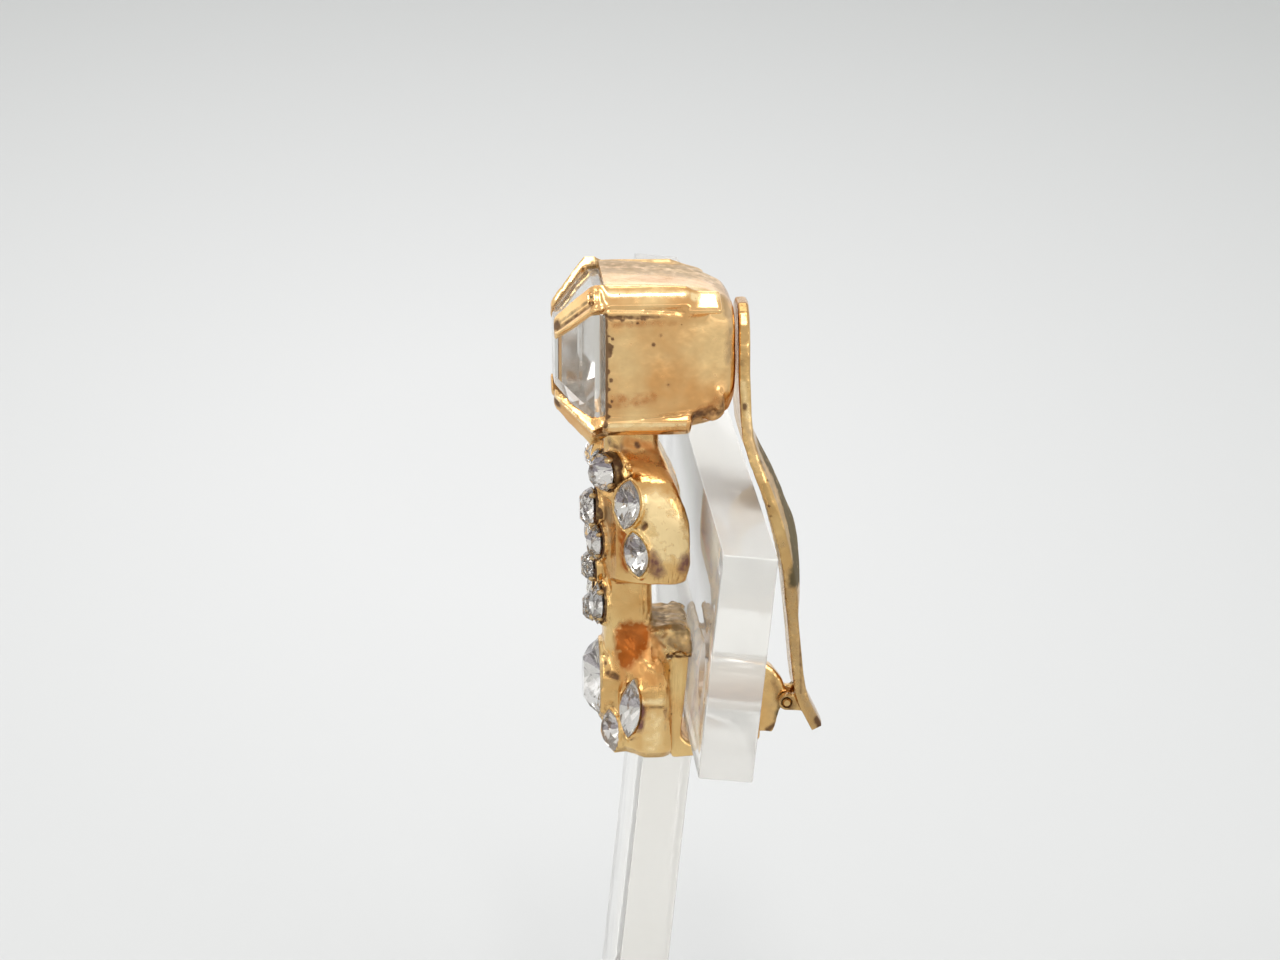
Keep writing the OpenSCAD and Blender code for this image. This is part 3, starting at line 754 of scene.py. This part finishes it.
wear_and_painted_light(cascade, "brown", both([
    ((2.9, 0.9, 18.5), (2.9, 0.9, 16.4), 0.3, 1.0),
    ((1.9, 0.1, 12.5), (1.9, 0.1, 4.0), 0.2, 0.8),
    ((4.05, 2.3, 14.7), (3.9, 2.2, 14.4), 0.35, 1.0),
    ((2.2, 0.3, 5.15), (2.5, 0.7, 5.0), 0.4, 1.0),
    ((2.8, 3.0, 7.6), (2.8, 5.2, 6.8), 0.9, 0.28),
    ((2.7, 3.4, 6.25), (2.7, 5.3, 6.2), 0.22, 1.3),
    ((0.6, 10.0, 4.4), (0.6, 10.4, 2.8), 0.5, 0.3),
    ((0.6, 10.2, 1.2), (0.6, 9.8, 0.9), 0.4, 1.0),
    ((4.4, 1.95, 3.72), (4.4, 3.65, 3.68), 0.2, 0.7),
    ((2.2, -0.2, 19.3), (2.4, 1.0, 18.9), 0.55, 0.9),
    ((1.4, 0.5, 18.9), (1.8, 1.0, 18.6), 0.5, 0.7),
    ((2.0, 1.9, 18.9), (2.0, 2.0, 18.8), 0.3, 1.0),
    ((1.6, 0.6, 16.2), (2.2, 0.8, 13.6), 0.7, 0.5),
]))
wear_and_painted_light(cascade, "olive", both([
    ((2.9, 2.6, 8.0), (2.9, 4.9, 8.0), 0.3, 0.8),
    ((2.9, 4.9, 8.0), (2.9, 5.4, 7.2), 0.45, 0.8),
    ((3.1, 2.8, 8.1), (3.1, 4.8, 8.1), 0.3, 1.2),
    ((0.0, 3.4, 8.0), (3.0, 4.4, 8.0), 0.9, 0.35),
    ((0.6, 10.7, 3.0), (0.6, 10.3, 1.6), 0.4, 0.8),
]))
wear_and_painted_light(cascade, "dull", both([
    ((0.0, 3.2, 8.1), (3.0, 3.2, 8.1), 1.2, 0.9),
    ((0.0, 4.4, 8.1), (3.0, 4.4, 8.1), 1.2, 0.9),
    ((2.8, 3.0, 7.2), (2.8, 5.2, 7.0), 1.2, 0.8),
    ((1.2, 0.5, 16.2), (1.8, 0.7, 13.4), 1.0, 1.3),
    ((0.5, 9.8, 4.0), (0.5, 10.3, 1.6), 1.2, 0.3),
    ((2.0, 1.2, 19.0), (2.0, 3.0, 18.8), 1.0, 0.5),
]))
# Painted highlights, over flats rubbed pale: the upper wings, the lower wing's ridge, the pad's edge and a bead.
wear_and_painted_light(cascade, "pale", both([
    ((4.45, 2.8, 15.9), (4.45, 4.2, 13.4), 1.5, 1.1),
    ((4.45, 2.2, 16.7), (4.45, 4.0, 16.6), 0.6, 0.9),
    ((4.45, 3.0, 14.0), (4.45, 3.4, 13.0), 1.1, 0.8),
    ((4.2, 1.9, 17.2), (4.2, 3.9, 17.05), 0.25, 1.2),
    ((4.4, 2.0, 4.08), (4.4, 3.6, 4.05), 0.36, 0.85),
    ((4.4, 2.8, 2.9), (4.4, 2.7, 1.0), 1.2, 0.55),
    ((2.85, 3.6, 6.2), (2.85, 5.2, 6.2), 0.12, 1.0),
    ((3.2, 1.4, 17.87), (3.2, 1.4, 17.9), 0.3, 1.0),
]))
PLATE_CASCADE = gold_plate("gold_plated_casting_cascade", waves=0.045, brushed=0.05)
finish_piece(cascade, "setting_cascade", [PLATE_CASCADE], "root", ["soldered_frame"])

# %% [markdown]
# ## The paddle and its pin
#
# The paddle is stamped from sheet brass, so it keeps one thickness all along and has soft
# sheared edges. It is softened less than the castings. Its back has a long painted dark
# reflection in the olive layer, made of five lines side by side.

# %% Paddle
PADDLE_VOXEL = 0.085
# Where the five lines of the painted dark reflection run across the paddle's back, in mm.
DARK_REFLECTION_LINES = (-1.6, -0.8, 0, 0.8, 1.6)

paddle = soften(solid_copy("clip_paddle"), PADDLE_VOXEL, 3)
polish(paddle, 6, lambda x, y, z: z > 4.0)
ripple(paddle, 2.0, 0.02, 5)
wear_and_painted_light(paddle, "brown", both([
    ((2.75, 8.1, 21.3), (2.75, 8.1, 21.1), 0.24, 1.0),
    ((2.8, 8.6, 18.9), (2.85, 8.7, 18.6), 0.26, 0.9),
    ((2.75, 7.9, 23.9), (2.75, 7.9, 23.7), 0.3, 0.7),
    ((1.5, 11.5, 10.0), (1.6, 11.6, 3.5), 0.16, 0.5),
    ((1.4, 12.6, 1.8), (1.2, 12.9, 1.2), 0.4, 1.3),
    ((1.2, 10.8, 2.8), (1.2, 10.9, 2.7), 0.8, 0.7),
    ((2.95, 9.0, 18.0), (2.9, 9.1, 16.6), 0.4, 0.5),
]) + both(specks(26, (2.9, 8.6, 13.5), (3.3, 9.8, 19.0), 0.13, 1.0, 23)))
press_in(paddle, [((0, 10.9, 13.2), (0, 11.5, 9.6), 2.2, -0.22)])
# Painted dark reflection: olive lines down the paddle's bulging back.
wear_and_painted_light(paddle, "olive", [((x, 9.3, 18.4), (x, 10.3, 15.6), 0.9, 1.1) for x in DARK_REFLECTION_LINES]
     + [((x, 10.3, 15.6), (x, 11.4, 10.6), 1.1, 1.5) for x in DARK_REFLECTION_LINES])
wear_and_painted_light(paddle, "pale", both([((2.75, 8.0, 22.6), (2.8, 8.5, 19.4), 0.35, 0.5)]))
wear_and_painted_light(paddle, "dull", both([
    ((3.0, 8.3, 20.2), (2.7, 10.3, 13.0), 0.5, 0.9),
    ((1.3, 11.6, 4.0), (1.2, 12.9, 1.2), 0.9, 0.8),
    ((1.6, 10.6, 12.5), (1.5, 11.5, 5.0), 1.2, 0.45),
]))
PLATE_PADDLE = gold_plate(
    "gold_plated_stamping", waves=0.03, pits=0.4, brushed=0.02, pale="#E2BD80", deep="#BD9259",
)
finish_piece(paddle, "paddle", [PLATE_PADDLE], "clip", ["clip_paddle"])

# %% [markdown]
# The hinge's pin is a rivet: a wire whose two ends were hammered into low domes. Its half
# outline is spun round its axis as on a lathe, which gives clean rings where a cylinder would
# have flat ends.

# %% Rivet
PIN_RADIUS = 0.26
HEAD = 0.12


def lathe(points, centre, axis, steps, merge):
    """Spins a line of points once round an axis, and merges the points closer than merge."""
    bm = bmesh.new()
    verts = [bm.verts.new(point) for point in points]
    edges = [bm.edges.new(pair) for pair in zip(verts, verts[1:])]
    bmesh.ops.spin(
        bm, geom=verts + edges, cent=centre, axis=axis, angle=math.tau, steps=steps, use_merge=True,
    )
    bmesh.ops.remove_doubles(bm, verts=bm.verts, dist=merge)
    bmesh.ops.recalc_face_normals(bm, faces=bm.faces)
    return bm


pin_low, pin_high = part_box("hinge_pin")
pin_half = (pin_high.x - pin_low.x) / 2 / MM
half_profile = [(pin_half, 0.0), (pin_half, 0.7 * PIN_RADIUS), (pin_half - HEAD, PIN_RADIUS)]
profile = [(-x, r) for x, r in half_profile] + half_profile[::-1]
rivet = lathe([PIVOT + EAR + Vector((x, 0, r)) for x, r in profile], PIVOT + EAR, (1, 0, 0), 24, 0.001)
finish_piece(rivet, "rivet", [PLATE_PADDLE], "root", ["hinge_pin"])

# %% [markdown]
# ## Cut stones
#
# A cutter works in rings: a girdle, a ring of crown points turned half a step, and a table.
# Wrapping a skin round those rings gives exactly the flat facets that the wheel would leave,
# so each stone is a few circles and one convex hull. A navette is the same with its circles
# pressed between two arcs.


# %% Gems
def ring(bm, count, share, z, turn=0.0):
    """A circle of points at a height, as part of a stone that is one unit wide."""
    place = Matrix.Translation((0, 0, z)) @ Matrix.Rotation(turn, 4, "Z")
    return bmesh.ops.create_circle(bm, segments=count, radius=share, matrix=place)["verts"]


def press(verts, shape, a, b):
    """Moves unit circle points to an oval or a pointed oval of half length a and half width b."""
    radius = (a * a + b * b) / (2 * b)
    for vert in verts:
        share = math.hypot(vert.co.x, vert.co.y)
        if shape == "navette":
            y = a * vert.co.y / share
            x = math.copysign(math.sqrt(max(radius * radius - y * y, 0)) - (radius - b), vert.co.x)
            vert.co.x, vert.co.y = x * share, y * share
        else:
            vert.co.x *= b
            vert.co.y *= a


def foil_facets(bm, upper=(0.27, 0.5), middle=(0.08, 0.36), lower=(0.4, 0.9)):
    """Silvers the facets below the girdle, with painted light and shade: the lower end looks up and is painted
    white, the middle is painted dark.
    """
    tone = bm.faces.layers.float.new("facet")
    reach = max(vert.co.y for vert in bm.verts)
    for face in bm.faces:
        centre = face.calc_center_median()
        face.material_index = 1 if centre.z < -0.01 else 0
        tones = lower if centre.y < 0.02 * reach else middle if centre.y < 0.5 * reach else upper
        face[tone] = random.uniform(*tones)


def cut_gem(shape, a, b, crown, pavilion=0.72):
    """A stone, table up, its girdle at z = 0, in two materials: glass above, foil below."""
    bm = bmesh.new()
    step = math.tau / 16
    # The girdle's two rings, the crown's with the table, and the pavilion's with the culet.
    ring(bm, 16, 1.0, 0.0)
    ring(bm, 16, 1.0, 0.05)
    ring(bm, 8, 0.8, 0.62 * crown, step)
    ring(bm, 8, 0.56, crown)
    ring(bm, 8, 0.55, -0.5 * pavilion, step)
    ring(bm, 8, 0.1, -pavilion)
    press(bm.verts, shape, a, b)
    bmesh.ops.remove_doubles(bm, verts=bm.verts, dist=0.002)
    bmesh.ops.delete(bm, geom=bm.edges, context="EDGES_FACES")
    hull = bmesh.ops.convex_hull(bm, input=bm.verts)
    unused = hull["geom_interior"] + hull["geom_unused"]
    loose = [item for item in unused if isinstance(item, bmesh.types.BMVert)]
    bmesh.ops.delete(bm, geom=loose, context="VERTS")
    bmesh.ops.recalc_face_normals(bm, faces=bm.faces)
    foil_facets(bm)
    return bm


# How much larger than its solid a stone is cut, and how far it stands proud of its seat, in mm.
EASE = 0.03
LIFT = 0.03


def seat(x, y, z, turn, lean, side):
    """The matrix that takes a stone from table-up to its seat on one side of the cascade."""
    return (
        Matrix.Translation(ear(side * x, y, z))
        @ Matrix.Rotation(math.radians(side * turn), 4, "Z")
        @ Matrix.Rotation(math.radians(90), 4, "X")
        @ Matrix.Rotation(math.radians(side * lean), 4, "Z")
    )


# Stones of the middle column: y, z, radius and crown height in mm.
MIDDLE = {
    "round_top": (-0.1, 17.15, 0.9, 0.5),
    "round_upper": (-0.5, 14.62, 1.17, 0.75),
    "round_middle": (-0.52, 11.1, 0.9, 0.65),
    "round_lower": (-0.5, 8.6, 0.85, 0.6),
    "round_big": (-0.12, 4.3, 2.2, 0.95),
}
# Stones in pairs: cut, x, y, z, turn and lean in degrees, half length, half width and crown height.
PAIRS = {
    "oval": ("oval", 2.15, 0.0, 17.28, 31, 0, 1.08, 0.98, 0.68),
    "navette_inner_upper": ("navette", 1.38, -0.38, 12.9, 20, -5, 1.05, 0.66, 0.45),
    "navette_inner_lower": ("navette", 1.55, -0.28, 9.25, 22, 0, 1.25, 0.6, 0.4),
    "navette_side_upper": ("navette", 3.72, 1.3, 15.78, 54, -8, 1.5, 0.86, 0.55),
    "navette_side_lower": ("navette", 3.93, 1.8, 12.85, 54, 9, 1.32, 0.8, 0.5),
    "petal_side": ("navette", 3.62, 1.53, 3.45, 37, -9, 1.88, 0.8, 0.55),
    "petal_foot": ("navette", 2.2, 0.5, 1.68, 32, 12, 1.25, 0.82, 0.5),
}
# Those held by claws in an open collar. The others have a rolled rim.
OPEN_CLAWS = ("round_top", "round_upper", "round_middle", "round_lower", "oval", "navette_inner_upper",
              "navette_inner_lower")
SEATS = {name: ("oval", seat(0, y, z, 0, 0, 1), r, r, crown) for name, (y, z, r, crown) in MIDDLE.items()}
for name, (shape, x, y, z, turn, lean, a, b, crown) in PAIRS.items():
    for suffix, side in (("_right", 1), ("_left", -1)):
        SEATS[name + suffix] = (shape, seat(x, y, z, turn, lean, side), a, b, crown)
random.seed(31)
for name, (shape, place, a, b, crown) in SEATS.items():
    gem = cut_gem(shape, a + EASE, b + EASE, crown)
    gem.transform(place @ Matrix.Translation((0, 0, LIFT)))
    finish_piece(gem, "cut_" + name, [CRYSTAL, FOIL], "root", [name], smooth_angle=0)

# %% [markdown]
# ## Rims and claws
#
# A small stone drops into a collar whose thin edge is then rolled over its girdle, or between
# claws: stubs of wire that are cut and pushed over until they shine. Both are far finer than
# the skin of the castings, so they are pieces of their own. A rim is a few outlines of the
# stone, one above another and bridged. A claw is a ball, stretched along the stone's axis.


# %% Rims and claws
def outline_loop(bm, shape, a, b, z):
    """The edges of a stone's outline at a height over its girdle."""
    verts = ring(bm, 32, 1.0, z)
    press(verts, shape, a, b)
    return [edge for edge in bm.edges if all(v in verts for v in edge.verts)]


def rim(shape, a, b, low, high, wall):
    """A rolled rim round a stone, its top edge bent in over the girdle."""
    bm = bmesh.new()
    section = [(wall, low), (wall, high - 0.07), (0.6 * wall, high), (0.0, high - 0.02),
               (-0.03, high - 0.1), (-0.03, low)]
    loops = [outline_loop(bm, shape, a + out, b + out, z) for out, z in section]
    for one, next_one in zip(loops, loops[1:] + loops[:1]):
        bmesh.ops.bridge_loops(bm, edges=one + next_one)
    bmesh.ops.recalc_face_normals(bm, faces=bm.faces)
    return bm


def gather(target, part, place, marking):
    """Puts a part into a larger mesh, with the strengths to choose from for each of its layers."""
    part.transform(place)
    mesh = bpy.data.meshes.new("part")
    part.to_mesh(mesh)
    part.free()
    known = len(target.verts)
    target.from_mesh(mesh)
    bpy.data.meshes.remove(mesh)
    target.verts.ensure_lookup_table()
    for kind, choices in marking.items():
        layer = target.verts.layers.float[kind]
        for vert in target.verts[known:]:
            vert[layer] = random.choice(choices) if len(choices) > 1 else choices[0]


# How high the two kinds of rim reach over the girdle and how thick they are, in mm.
COLLAR = {"low": -0.7, "high": -0.12, "wall": 0.09}
ROLLED = {"low": -0.5, "high": 0.1, "wall": 0.055}
COLLAR_WEAR = {"olive": [0.7], "brown": [0.75]}
CLAW_WEAR = {"dull": (0.4, 0.8, 1.1)}
ROLLED_WEAR = {
    "navette_side_upper": {"dull": [0.5]},
    "navette_side_lower": {"olive": [0.4]},
    "petal_side": {"dull": [0.6]},
    "petal_foot": {"olive": [0.45]},
    "round_big": {"dull": [0.8]},
}
CLAW_RADII = (0.15, 0.17, 0.24)
CLAW_SPREAD = 12
# How far along the stone's half length and half width its claws stand.
CLAW_REACH = {"oval": 0.98, "navette": 0.86}

rims = bmesh.new()
for kind in WEAR_AND_PAINTED_LIGHT:
    rims.verts.layers.float.new(kind)
for name, (shape, place, a, b, _) in SEATS.items():
    kind = name.replace("_right", "").replace("_left", "")
    if kind not in OPEN_CLAWS:
        gather(rims, rim(shape, a, b, **ROLLED), place, ROLLED_WEAR[kind])
        continue
    gather(rims, rim(shape, a, b, **COLLAR), place, COLLAR_WEAR)
    for corner in (45, 135, 225, 315):
        t = math.radians(corner + random.uniform(-CLAW_SPREAD, CLAW_SPREAD))
        size = random.uniform(0.8, 1.25)
        reach = CLAW_REACH[shape]
        spot = Matrix.Translation((reach * b * math.cos(t), reach * a * math.sin(t), 0.02))
        stretch = Matrix.Diagonal((*[size * r for r in CLAW_RADII], 1))
        claw = bmesh.new()
        bmesh.ops.create_icosphere(claw, subdivisions=2, radius=1, matrix=spot @ stretch)
        gather(rims, claw, place, CLAW_WEAR)
PLATE_RIMS = gold_plate(
    "gold_plated_rims_and_claws", waves=0.015, pits=0.0, pale="#F6DCA0", deep="#E0B878",
)
finish_piece(
    rims, "rims_and_claws", [PLATE_RIMS], "root", ["soldered_frame"], smooth_angle=50,
)

# %% [markdown]
# ## The big stone
#
# The main stone is a square step cut with cut corners: straight facets in steps, like a
# terraced roof. Here the outline of a square with cut corners is drawn once for each step, wider
# at the girdle than at the table and the culet, and the outlines are bridged. Its girdle was
# only ground, so it has a material of its own.

# %% Step-cut stone
CUP_Z = 24.2
STONE_CUT = 1.15
STONE_HALF = 3.98
GIRDLE = -0.02
# Each step's height over the girdle, and its shares of the half width and of the cut corner.
STONE_STEPS = [
    (-3.3, 0.12, 0.12), (-2.75, 0.34, 0.36), (-1.9, 0.6, 0.6), (-0.95, 0.83, 0.83), (0.0, 1.0, 1.0),
    (0.62, 1.0, 1.0), (1.45, 0.815, 0.85), (2.38, 0.56, 0.62), (2.78, 0.45, 0.5),
]


def cut_square(bm, z, half, cut):
    """The outline of a square with cut corners at a height."""
    verts = bmesh.ops.create_circle(bm, segments=8, radius=1)["verts"]
    rest = half - cut
    quarter = [(half, -rest), (half, rest), (rest, half), (-rest, half)]
    for vert, (x, y) in zip(verts, quarter + [(-x, -y) for x, y in quarter]):
        vert.co = Vector((x, y, z))
    return [edge for edge in bm.edges if all(v in verts for v in edge.verts)]


big = bmesh.new()
loops = [
    cut_square(big, GIRDLE + height, STONE_HALF * share, STONE_CUT * cut)
    for height, share, cut in STONE_STEPS
]
for low, high in zip(loops, loops[1:]):
    bmesh.ops.bridge_loops(big, edges=low + high)
for end in (loops[0], loops[-1]):
    bmesh.ops.contextual_create(big, geom=end)
bmesh.ops.recalc_face_normals(big, faces=big.faces)
foil_facets(big, upper=(0.36, 0.6), middle=(0.16, 0.6), lower=(0.38, 0.7))
for face in big.faces:
    if abs(face.normal.z) < 0.01:
        face.material_index = 2
big.transform(Matrix.Translation(ear(0, 0, CUP_Z)) @ Matrix.Rotation(math.radians(90), 4, "X"))
finish_piece(
    big, "cut_big_stone", [CRYSTAL, MIRROR_COAT, GIRDLE_GLASS], "root", ["big_stone"],
    smooth_angle=0,
)

# %% [markdown]
# ## The stand
#
# Flat sheet needs nothing but its edges: a laser leaves them square, and a hair of a bevel is
# what catches the light along them. A bevel needs clean flat faces, so the copy's triangles
# are dissolved into whole faces first. The cut edges and the burnt holes get their own finish.


# %% Stand
SHEET_BEVEL = 0.1
FOOT_BEVEL = 0.35
HOLE_REACH = 3.6


def eased_copy(node, width):
    """A copy of a flat-sided solid with its edges bevelled."""
    bm = solid_copy(node)
    bmesh.ops.dissolve_limit(bm, angle_limit=math.radians(1), verts=bm.verts, edges=bm.edges)
    sharp = [e for e in bm.edges if len(e.link_faces) == 2 and e.calc_face_angle() > math.radians(30)]
    bmesh.ops.bevel(bm, geom=sharp, offset=width, offset_type="OFFSET", segments=2, profile=0.5,
                    affect="EDGES", material=-1, clamp_overlap=True)
    return bm


def edges_rough(bm):
    """Gives the second material to every face that isn't one of the sheet's two large faces."""
    largest = max(bm.faces, key=lambda face: face.calc_area())
    for face in bm.faces:
        face.material_index = 0 if abs(face.normal.dot(largest.normal)) > 0.9 else 1


sheet = eased_copy("stand_tee", SHEET_BEVEL)
edges_rough(sheet)
holes = [Vector(mount["pos_m"]) / MM for mount in frame["record"]["mounts"] if mount["kind"] == "bore"]
for face in sheet.faces:
    near_hole = any((face.calc_center_median() - hole).length < HOLE_REACH for hole in holes)
    if face.material_index == 1 and near_hole:
        face.material_index = 2
finish_piece(
    sheet, "stand_sheet", [ACRYLIC_FACE, ACRYLIC_EDGE, ACRYLIC_HOLE], "root", ["stand_tee"],
)
foot = eased_copy("stand_base", FOOT_BEVEL)
edges_rough(foot)
finish_piece(foot, "stand_foot", [ACRYLIC_FACE, ACRYLIC_EDGE], "root", ["stand_base"])

# %% [markdown]
# ## Floor and light
#
# The photograph has a pale, even sweep behind the object and light from all round, as in a
# light tent. A wide dish does that from every side: flat in the middle, curving up far out
# and glowing a little where it rises. Gold shows what it reflects, so four soft lights stand
# round it: above, in front, low on the camera's side and above the far side.

# %% Sweep
FLOOR_RADIUS = 1.4
SWEEP_RADIUS = 0.7
# The floor lies a hair lower than the foot, so that light gets out of the acrylic there.
AIR_GAP = 0.1 * MM
# The painted grey pool of shade on the paper: where its middle lies in metres, and its stretch along x and y.
POOL_X = -0.17
POOL_STRETCH = (2.2, 5, 0)
line = [Vector((0, 0, 0)), Vector((FLOOR_RADIUS, 0, 0))]
line += [
    Vector((FLOOR_RADIUS + SWEEP_RADIUS * math.sin(t), 0, SWEEP_RADIUS * (1 - math.cos(t))))
    for t in [math.radians(a) for a in range(9, 91, 9)]
]
sweep = lathe(line, (0, 0, 0), (0, 0, 1), 96, 0.0001)
sweep.transform(Matrix.Translation((0, 0, -AIR_GAP)))
floor = new_object(sweep, "floor")
for face in floor.data.polygons:
    face.use_smooth = True

# The paper is greyer where the earring's backdrop shows in the photograph, and white far out.
paper, tree, place = new_material("matt_backdrop_paper")
spread = add(tree, "ShaderNodeMapping", {
    "Vector": place, "Location": (-POOL_X * POOL_STRETCH[0], 0, 0), "Scale": POOL_STRETCH,
})
reach = add(tree, "ShaderNodeVectorMath", {0: spread}, operation="LENGTH")
pool = add(tree, "ShaderNodeMapRange", {"Value": reach, "From Min": 0.1, "From Max": 0.85})
# Painted shade and light: the paper is grey in the pool, and painted lighter far out.
shade = add(tree, "ShaderNodeMix", {"Factor": pool, 6: "#D9D9D8", 7: "#BCBDBB"}, data_type="RGBA")
wide = add(tree, "ShaderNodeMapRange", {"Value": reach, "From Min": 1.1, "From Max": 2.5})
shade = add(tree, "ShaderNodeMix", {"Factor": wide, 6: shade, 7: "#F4F4F4"}, data_type="RGBA")
height = add(tree, "ShaderNodeSeparateXYZ", {0: place}).outputs["Z"]
glow = add(tree, "ShaderNodeMapRange", {
    "Value": height, "From Min": 0.02, "From Max": 0.4, "To Max": 0.45,
})
surface(tree, {
    "Base Color": shade, "Roughness": 0.9, "Emission Color": "#FFFFFF", "Emission Strength": glow,
})
floor.data.materials.append(paper)
print("sweep reaches out, in metres:", FLOOR_RADIUS + SWEEP_RADIUS)


# %% [markdown]
# A softbox is an area light. Its size decides how wide the bright streaks on the gold are, so
# all four are large for a piece of 3 cm. The world adds the even white of the tent.

# %% Lights
def soft_light(name, place, size, watts):
    """A square, white area light that looks at the earring."""
    data = bpy.data.lights.new(name, "AREA")
    data.size = size
    data.energy = watts
    light = bpy.data.objects.new(name, data)
    light.location = place
    light.rotation_mode = "QUATERNION"
    light.rotation_quaternion = (TARGET - Vector(place)).to_track_quat("-Z", "Y")
    scene.collection.objects.link(light)
    print(name, "gives", watts, "W from", size, "m")


soft_light("light_top", (0.2, 0.02, 0.75), 0.3, 1.7)
soft_light("light_front", (0.35, -0.6, 0.35), 0.22, 0.6)
soft_light("light_side", (0.62, 0.3, 0.16), 0.2, 0.45)
soft_light("light_far", (-0.34, 0.02, 0.58), 0.3, 0.5)
world = bpy.data.worlds.new("room")
scene.world = world
world.use_nodes = True
background = world.node_tree.nodes["Background"]
background.inputs["Color"].default_value = srgb("#F0F1F2")
background.inputs["Strength"].default_value = 0.95
scene.view_settings.view_transform = "Standard"

# Light goes in and out of a stone many times before it leaves, so it may bounce often.
cycles = scene.cycles
cycles.max_bounces = 24
cycles.transmission_bounces = 24
cycles.glossy_bounces = 24
cycles.diffuse_bounces = 16
